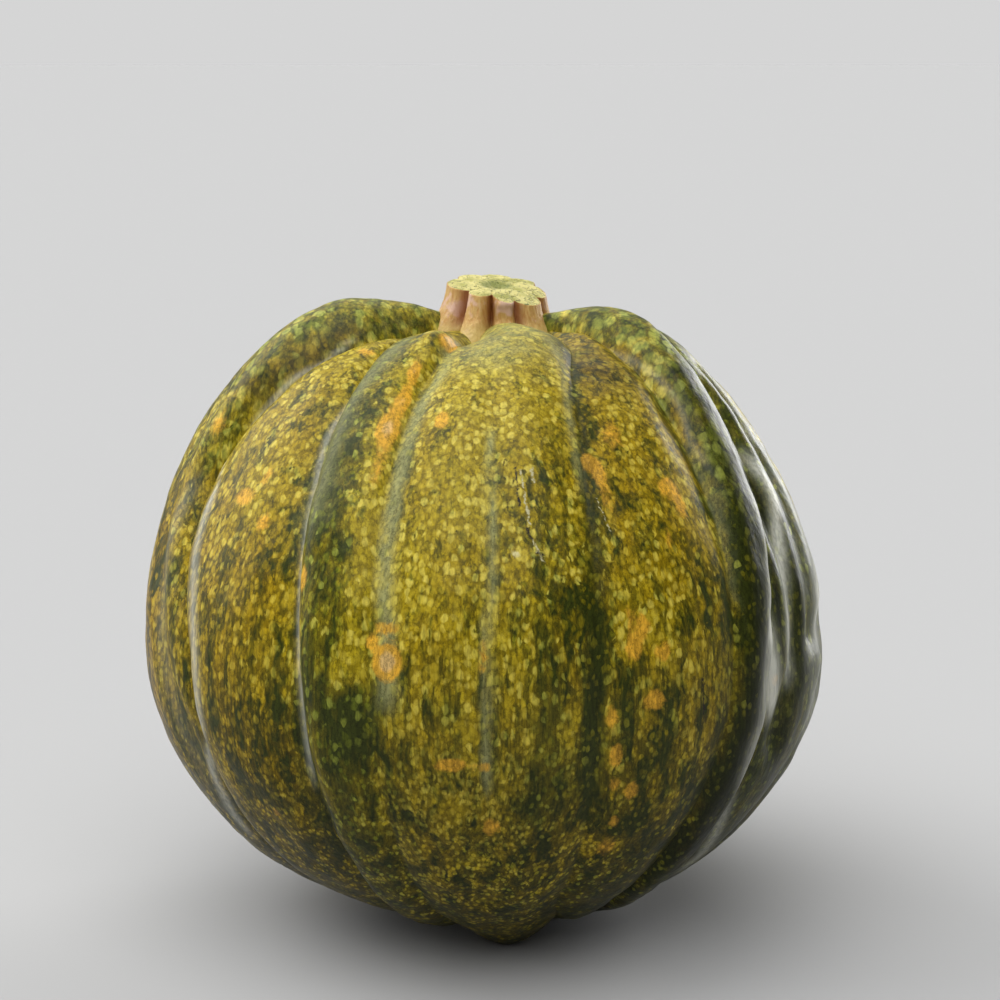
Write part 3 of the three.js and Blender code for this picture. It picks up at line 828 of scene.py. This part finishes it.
def stem_net():
    """Points of the stem's net, and what lies on each: cut, groove, height and the hollow's rim."""
    azimuths, dips, depths = [], [], []
    grooves = STEM["grooves"]
    for rib, (start, depth) in enumerate(grooves):
        end, next_depth = grooves[(rib + 1) % len(grooves)]
        share = column_shares(STEM["columns_per_rib"])
        away = np.abs(2 * share - 1) ** STEM["rib_flank"]
        azimuths.append(start + np.mod(end - start, 360) * share)
        depths.append(away)
        dips.append((depth * (1 - share) + next_depth * share) * away)
    azimuth, dip, groove = map(np.concatenate, (azimuths, dips, depths))
    sine, cosine = np.sin(np.radians(azimuth)), np.cos(np.radians(azimuth))
    rim = STEM["side"][-1][1] * (1 - dip)
    top = cut_height(rim * sine, -rim * cosine) - STEM["foot"] - STEM["rim_drop"]
    low = STEM["side"][0][0]
    climb = np.linspace(0, 1, STEM["side_rows"])[:, None]
    height = low + (top - low) * climb
    side = smooth_line(STEM["side"], height) * (1 - dip)
    for _, *patch, out in STEM_FORMS:
        side += out * in_patch(azimuth, height, *patch)
    side_points = np.stack([side * sine, -side * cosine, height + STEM["foot"]], -1)
    rings = np.linspace(STEM["face_start"], 1, STEM["face_rows"])
    inward = (1 - rings ** STEM["face_crowding"] * STEM["face_end"])[:, None]
    x, y = side[-1] * sine * inward, -side[-1] * cosine * inward
    rounded = STEM["rim_drop"] * inward ** STEM["rim_sharpness"]
    points = np.vstack([side_points, np.stack([x, y, cut_height(x, y) - rounded], -1)])
    points[..., 0] += STEM["x"]
    points[..., 1] += STEM["y"]
    ring = bell((np.hypot(x, y) - STEM["hollow_radius"]) / STEM["hollow_rim"])
    return points, {
        "cut": np.vstack([np.zeros(side.shape), np.ones(x.shape)]),
        "groove": np.vstack([np.broadcast_to(groove, side.shape), groove * inward ** STEM["groove_fade"]]),
        "up": np.vstack([height, np.broadcast_to(top, x.shape)]),
        "hollow": np.vstack([np.zeros(side.shape), ring]),
    }


def make_cork():
    """Upright fibres on the stem's side, and a cracked cut round a green hollow."""
    material = bpy.data.materials.new("Cork")
    t = start_tree(material)
    place = t.place()
    fibres = use_group(t, streaks_group, Vector=place, **FIBRES)["Mask"]
    clouds = t.noise(place, CORK_CLOUDS, detail=3.0)["Fac"]
    side = t.mix(fibres, FIBRE, PALE_FIBRE)
    side = t.mix(t.rise(clouds, 0.5, 0.66, 0.0, 0.8), side, PINK_CORK)
    # Brown in the grooves between the ribs, partly their own colour and partly painted shade.
    side = t.mix(t.rise(t.amount("groove"), 0.1, 0.8, 0.0, 0.92), side, GROOVE_BROWN_AND_SHADE)
    side = t.mix(t.rise(t.amount("up"), 4.0, 0.0, 0.0, 0.75), side, FOOT_CORK)
    face = t.mix(t.rise(clouds, 0.3, 0.6), CUT_GREEN, CUT_PALE)
    cracks = t.lines(t.noise(place, CRACKS)["Fac"], CRACK_WIDTH)
    face = t.mix(t.times(cracks, 0.9), face, CRACK_GREEN)
    face = t.mix(t.times(t.amount("hollow"), 0.75), face, HOLLOW_GREEN)
    colour = t.mix(t.amount("cut"), side, face)
    finish_material(t, fibres, **CORK_BUMP, Base_Color=colour, Roughness=0.62)
    return material


rind = make_rind()
cork = make_cork()

# Inputs of the Geometry Nodes trees: sizes in metres, how many pits a square metre has, and seeds.
RIND_RELIEF = {"Dent width": 0.012, "Dent depth": 0.0005, "Ripple width": 0.0045,
               "Ripple depth": 0.0003, "Seed": 3.0}
CUT_PITS = {"Pits per square metre": 220000.0, "Pit radius": 0.0006, "Pit depth": 0.0004,
            "Fibre width": 0.0011, "Fibre depth": 0.0003, "Seed": 5}
# How much of their height the ripples and the fibres keep, and how high over the floor the rind has
# its full relief.
RIPPLE_UPRIGHT = 0.2
FIBRE_UPRIGHT = 0.15
RELIEF_FROM = 0.006
# Fibres are shallower on the cut by this share.
CUT_SMOOTHER = 0.6


def start_shaping(name, sizes):
    """A Geometry Nodes tree with named inputs: the mesh that it changes, its sizes and a material."""
    inputs = [("Geometry", GEOMETRY, None)]
    for label, value in sizes.items():
        inputs.append((label, INTEGER if isinstance(value, int) else FLOAT, value))
    inputs.append(("Material", MATERIAL, None))
    return start_group(name, inputs, [("Geometry", GEOMETRY)], kind="GeometryNodeTree")


def push_out(t, given, result, amount):
    """Ends a Geometry Nodes tree: moves each point along its normal and gives the mesh its material."""
    offset = t.scaled(t.add("GeometryNodeInputNormal").outputs[0], amount)
    moved = t.add("GeometryNodeSetPosition", {"Geometry": given["Geometry"], "Offset": offset})
    realized = t.add("GeometryNodeRealizeInstances", {"Geometry": moved.outputs[0]})
    dressed = t.add("GeometryNodeSetMaterial", {"Geometry": realized.outputs[0],
                                                "Material": given["Material"]})
    t.put(result["Geometry"], dressed.outputs[0])


def make_rind_relief():
    """Shallow dents and upright ripples, pressed into the skin but not into what stands on the floor."""
    t, given, result = start_shaping("Rind relief", RIND_RELIEF)
    position = t.add("GeometryNodeInputPosition").outputs[0]
    place = t.vector("ADD", position, t.add("ShaderNodeCombineXYZ", {0: given["Seed"]}).outputs[0])
    dents = t.noise(place, t.one_over(given["Dent width"]), detail=1.0)["Fac"]
    ripples = t.noise(t.upright(place, RIPPLE_UPRIGHT), t.one_over(given["Ripple width"]))["Fac"]
    both = t.plus(t.centred(dents, given["Dent depth"]), t.centred(ripples, given["Ripple depth"]))
    height = t.add("ShaderNodeSeparateXYZ", {0: position}).outputs[2]
    push_out(t, given, result, t.times(t.times(both, 2.0), t.rise(height, 0.0, RELIEF_FROM)))
    return t.tree


def make_cut_pits():
    """Small pits scattered over the stem's cut, each round its own seeded point, and fibres all over."""
    t, given, result = start_shaping("Cut face pits", CUT_PITS)
    cut = t.add("GeometryNodeInputNamedAttribute", {"Name": "cut"}, data_type="FLOAT").outputs["Attribute"]
    scatter = t.add("GeometryNodeDistributePointsOnFaces",
                    {"Mesh": given["Geometry"], "Selection": t.math("GREATER_THAN", cut, 0.9),
                     "Density": given["Pits per square metre"], "Seed": given["Seed"]})
    near = t.add("GeometryNodeProximity", {0: scatter.outputs["Points"]}, target_element="POINTS")
    pit = t.rise(near.outputs["Distance"], 0.0, given["Pit radius"], 1.0, 0.0)
    press = t.times(t.times(pit, cut), t.times(given["Pit depth"], -1.0))
    drawn = t.upright(t.add("GeometryNodeInputPosition").outputs[0], FIBRE_UPRIGHT)
    fibres = t.noise(drawn, t.one_over(given["Fibre width"]))["Fac"]
    fibre = t.centred(fibres, t.times(given["Fibre depth"], 2.0))
    push_out(t, given, result, t.plus(press, t.without(fibre, t.times(cut, CUT_SMOOTHER))))
    return t.tree


def shape_with(piece, tree, sizes, material):
    """Runs a Geometry Nodes tree on a piece and keeps its result as the piece's plain mesh."""
    modifier = piece.modifiers.new(tree.name, "NODES")
    modifier.node_group = tree
    sockets = {item.name: item.identifier for item in tree.interface.items_tree
               if item.in_out == "INPUT"}
    for label, value in sizes.items():
        modifier[sockets[label]] = value
    modifier[sockets["Material"]] = material
    graph = bpy.context.evaluated_depsgraph_get()
    mesh = bpy.data.meshes.new_from_object(piece.evaluated_get(graph), preserve_all_data_layers=True,
                                           depsgraph=graph)
    piece.modifiers.clear()
    mesh.name = piece.name
    piece.data = mesh


def make_piece(name, low, rings, high, amounts):
    """A piece from rings of points and its two poles, with what is painted on each point."""
    mesh = closed_net(name, low, rings, high)
    for kind, values in amounts.items():
        store(mesh, kind, values)
    return link_object(mesh)


def make_fruit():
    latitude = -90 + 180 * np.arange(1, SKIN_ROWS) / SKIN_ROWS
    azimuth, radius, lobe_number, share = skin_net(latitude)
    piece = make_piece("kabocha_fruit", HEART + np.array([0, 0, -PROFILE[0][1]]),
                       skin_points(azimuth, latitude[:, None], radius),
                       HEART + np.array([0, 0, PROFILE[-1][1]]),
                       paint(azimuth, latitude, lobe_number, share))
    shape_with(piece, make_rind_relief(), RIND_RELIEF, rind)
    return piece


def make_stem():
    points, amounts = stem_net()
    middle = np.array([STEM["x"], STEM["y"], 0])
    piece = make_piece("corky_stem", middle + np.array([0, 0, STEM["foot"] + STEM["side"][0][0]]),
                       points, middle + np.array([0, 0, cut_height(0, 0)]), amounts)
    shape_with(piece, make_cut_pits(), CUT_PITS, cork)
    return piece


fruit = make_fruit()
stem = make_stem()
for piece, node, slot in ((fruit, "fruit", "rind"), (stem, "stem", "cork")):
    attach(piece, "root")
    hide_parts(node)

# The studio: a floor and a background of the same brightness. A wide soft light comes from behind
# and above, others from in front and from the left, and a narrow one glances off the right flank.
PALE = 0.666
FLOOR_ALBEDO = 0.388
FLOOR_HALF = 30.0
# The room round the squash: how bright its back is, how bright the squash's gloss finds it, and how
# bright the camera's side is. One side ends and the other starts at these depths of a direction.
WALL_BEHIND = 0.22
GLOSS_BEHIND = 0.4
DARK_IN_FRONT = 0.06
FRONT_ENDS = -0.3
BACK_STARTS = 0.5
# Each lamp: azimuth and height it shines from, how wide it looks, its strength, and how much of it
# goes to colour and how much to gloss.
LAMPS = [
    ("Overhead", -140, 60, 80, 1.5, 1, 0.1),
    ("Front", -10, 62, 65, 2.5, 1, 0.1),
    ("Left", -104, 33, 60, 1.75, 1, 0.25),
    ("Right rim", 138, 14, 30, 2.2, 0.1, 0.25),
]
# The photograph's view: the lens, how far the eye is from the fruit's heart, how high above it in
# degrees, and how far it looks down and to the right of straight ahead.
VIEW = {"lens": 85, "sensor": 36, "nearest": 0.01, "distance": 596, "height": 14, "down": 10.8485,
        "right": 0.3882}


def make_floor():
    mesh = bpy.data.meshes.new("floor")
    corners = [(x * FLOOR_HALF, y * FLOOR_HALF, 0) for x, y in ((-1, -1), (1, -1), (1, 1), (-1, 1))]
    mesh.from_pydata(corners, [], [(0, 1, 2, 3)])
    material = bpy.data.materials.new("Pale floor")
    material.use_nodes = True
    shader = material.node_tree.nodes["Principled BSDF"]
    shader.inputs["Base Color"].default_value = (FLOOR_ALBEDO, FLOOR_ALBEDO, FLOOR_ALBEDO, 1)
    shader.inputs["Roughness"].default_value = 1.0
    shader.inputs["Specular IOR Level"].default_value = 0.0
    mesh.materials.append(material)
    floor = link_object(mesh)


def direction(side, up):
    """Where an azimuth and a height in degrees point."""
    side, up = math.radians(side), math.radians(up)
    return Vector((math.sin(side) * math.cos(up), -math.cos(side) * math.cos(up), math.sin(up)))


def make_light():
    world = bpy.data.worlds.new("Studio")
    bpy.context.scene.world = world
    t = start_tree(world)
    ray = t.add("ShaderNodeLightPath").outputs
    depth = t.add("ShaderNodeSeparateXYZ", {0: t.add("ShaderNodeTexCoord").outputs["Generated"]}).outputs[1]
    behind = t.plus(WALL_BEHIND, t.times(ray["Is Glossy Ray"], GLOSS_BEHIND - WALL_BEHIND))
    around = t.rise(depth, FRONT_ENDS, BACK_STARTS, DARK_IN_FRONT, behind)
    strength = t.plus(around, t.times(ray["Is Camera Ray"], t.less(PALE, around)))
    background = t.add("ShaderNodeBackground", {"Color": (1, 1, 1, 1), "Strength": strength})
    t.add("ShaderNodeOutputWorld", {"Surface": background.outputs[0]})
    for name, azimuth, height, width, energy, diffuse, gloss in LAMPS:
        sun = bpy.data.lights.new(name, "SUN")
        sun.angle = math.radians(width)
        sun.energy = energy
        sun.diffuse_factor = diffuse
        sun.specular_factor = gloss
        lamp = link_object(sun)
        lamp.rotation_euler = direction(azimuth, height).to_track_quat("Z", "Y").to_euler()


def make_camera():
    lens = bpy.data.cameras.new("Camera")
    lens.lens = VIEW["lens"]
    lens.sensor_width = VIEW["sensor"]
    lens.clip_start = VIEW["nearest"]
    camera = link_object(lens)
    camera.location = (Vector(HEART) + VIEW["distance"] * direction(0, VIEW["height"])) * MM
    down, right = math.radians(VIEW["down"]), math.radians(VIEW["right"])
    forward = Vector((math.sin(right) * math.cos(down), math.cos(right) * math.cos(down), -math.sin(down)))
    camera.rotation_euler = forward.to_track_quat("-Z", "Y").to_euler()
    bpy.context.scene.camera = camera


make_floor()
make_light()
make_camera()
bpy.context.scene.view_settings.view_transform = "Standard"
